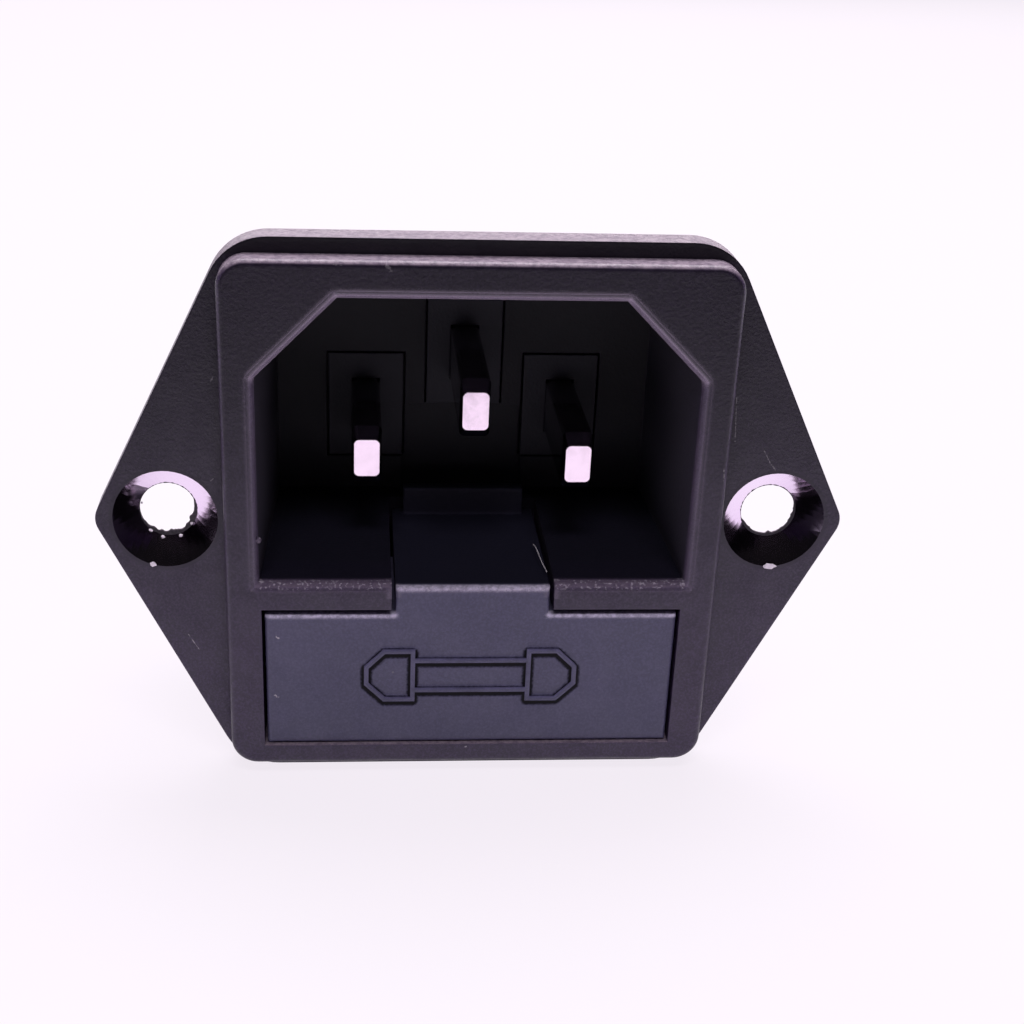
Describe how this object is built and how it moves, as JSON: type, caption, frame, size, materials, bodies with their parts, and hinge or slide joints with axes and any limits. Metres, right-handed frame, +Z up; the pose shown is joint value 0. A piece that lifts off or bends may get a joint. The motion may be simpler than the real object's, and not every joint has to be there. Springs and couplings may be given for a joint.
{
  "type": "panel power inlet with fuse drawer",
  "caption": "Screw-mounted panel power inlet with a recessed three-pin socket for an appliance cord and a pull-out fuse drawer below it.",
  "frame": {"origin": "middle of the line between the two fixing holes, on the back face of the flange", "axes": "+X right seen from the front, +Y into the panel, +Z up, towards the earth pin; the face looks along -Y"},
  "size_m": [0.049, 0.028, 0.0372],
  "materials": {
    "housing_plastic": "fine-grained black moulding, satin",
    "carrier_plastic": "black moulding, matt",
    "drawer_plastic": "dark grey moulding, satin",
    "pin_metal": "nickel plated, polished",
    "terminal_metal": "tin plated, satin",
    "contact_metal": "tin plated spring strip",
    "fuse_glass": "clear",
    "fuse_cap": "nickel plated",
    "fuse_wire": "drawn wire"
  },
  "bodies": {
    "inlet": {"housing": "housing_plastic", "terminal_carrier": "carrier_plastic", "line_pin": "pin_metal", "neutral_pin": "pin_metal", "earth_pin": "pin_metal", "neutral_tab": "terminal_metal", "earth_tab": "terminal_metal", "pin_side_contact": "contact_metal", "line_terminal": "contact_metal"},
    "drawer": {"fuse_drawer": "drawer_plastic", "fuse_glass": "fuse_glass", "fuse_cap_left": "fuse_cap", "fuse_cap_right": "fuse_cap", "fuse_wire": "fuse_wire", "spare_fuse_glass": "fuse_glass", "spare_fuse_cap_left": "fuse_cap", "spare_fuse_cap_right": "fuse_cap", "spare_fuse_wire": "fuse_wire"}
  },
  "joints": [
    {"name": "drawer_slide", "type": "slide", "parent": "inlet", "child": "drawer", "axis": [0, -1, 0], "range_m": [0, 0.022]}
  ]
}
